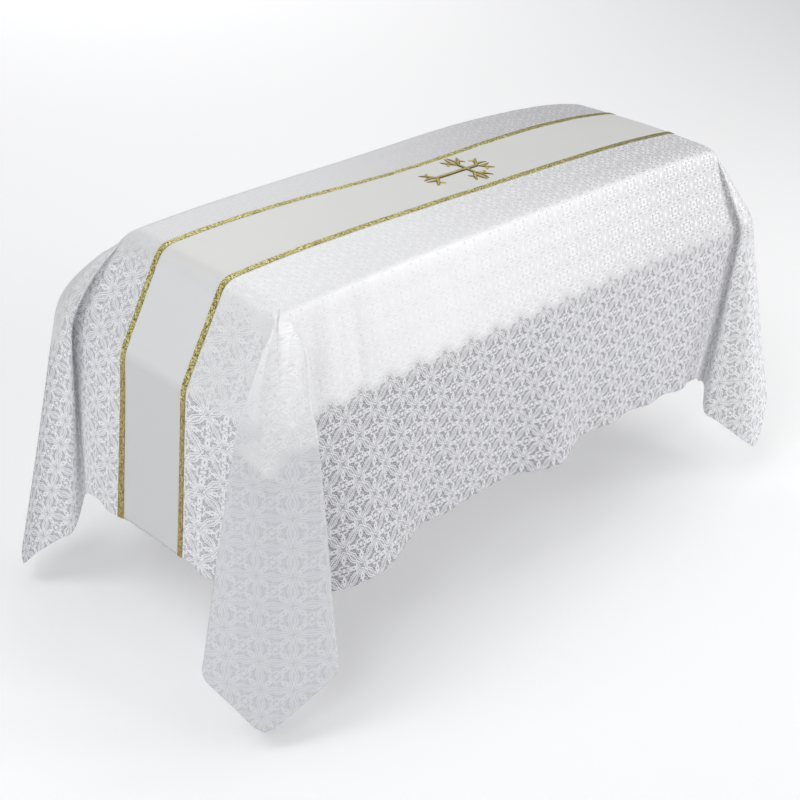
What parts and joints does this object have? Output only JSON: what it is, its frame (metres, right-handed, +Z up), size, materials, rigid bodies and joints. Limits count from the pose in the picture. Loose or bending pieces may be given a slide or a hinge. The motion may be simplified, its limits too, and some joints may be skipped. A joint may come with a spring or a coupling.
{
  "type": "funeral pall",
  "caption": "White damask funeral pall, draped hollow: flat top, sloped and upright sides, a hanging pleat at each corner, satin band, gold braid and cross.",
  "frame": {"origin": "on the underside of the cloth in the middle of the flat top", "axes": "+X to the head end, where the cross's short arm points, +Y across to the far side, +Z up"},
  "size_m": [2.2937, 1.0472, 1.0552],
  "materials": {
    "damask": "white damask, satin pattern on a matt ground",
    "satin": "plain off-white satin",
    "gold_braid": "glittering woven gold braid",
    "gold_thread": "raised gold thread embroidery"
  },
  "bodies": {
    "root": {"pall_cloth": "damask", "centre_band": "satin", "braid_near": "gold_braid", "braid_far": "gold_braid", "cross": "gold_thread"}
  },
  "joints": []
}
